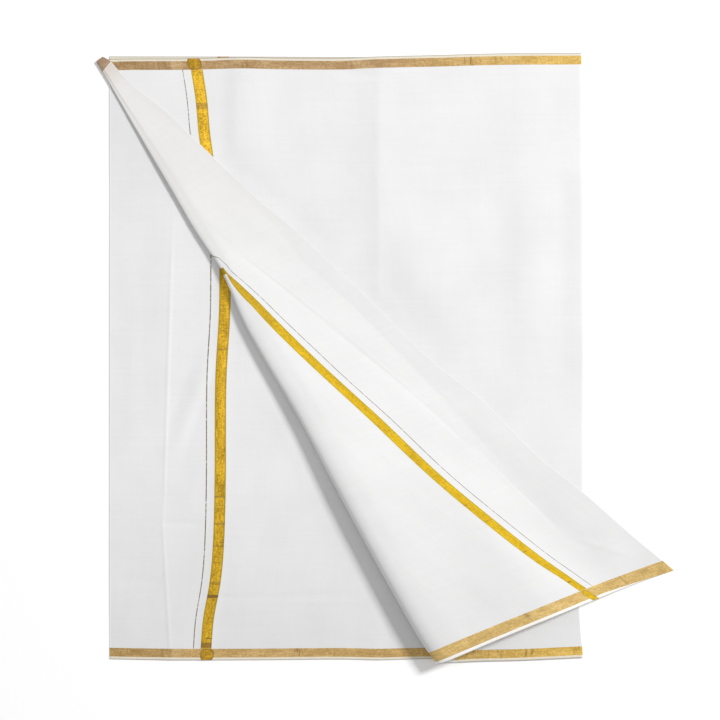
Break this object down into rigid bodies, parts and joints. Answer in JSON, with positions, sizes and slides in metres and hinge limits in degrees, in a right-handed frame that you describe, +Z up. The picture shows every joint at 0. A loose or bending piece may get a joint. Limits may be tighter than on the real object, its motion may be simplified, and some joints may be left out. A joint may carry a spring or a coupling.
{
  "type": "lungi",
  "caption": "White cotton lungi with gold zari borders and cross bands, folded and laid flat with a lower corner turned over.",
  "frame": {"origin": "centre of the bounding box in plan, on the surface that the folded cloth lies on", "axes": "+Z up from the table, +X from the cut ends to the side fold, +Y from the near selvedge to the far one"},
  "size_m": [1.218, 1.2858, 0.0367],
  "materials": {
    "cotton": "matte plain-weave cotton",
    "zari_border": "dull gold thread woven along the selvedges",
    "zari_band": "bright gold thread woven across the length"
  },
  "bodies": {
    "root": {"lower_border_far": "zari_border", "lower_end_strip": "cotton", "lower_cross_band": "zari_band", "lower_field": "cotton", "lower_border_near": "zari_border", "side_fold_border_far": "zari_border", "side_fold_field": "cotton", "side_fold_border_near": "zari_border", "upper_border_far": "zari_border", "upper_end_strip": "cotton", "upper_cross_band": "zari_band", "upper_field": "cotton", "upper_border_near": "zari_border", "turn_border_far": "zari_border", "turn_end_strip": "cotton", "turn_cross_band": "zari_band", "turn_field": "cotton", "turn_border_near": "zari_border", "corner_border_far": "zari_border", "corner_end_strip": "cotton", "corner_cross_band": "zari_band", "corner_field": "cotton", "corner_border_near": "zari_border"}
  },
  "joints": []
}
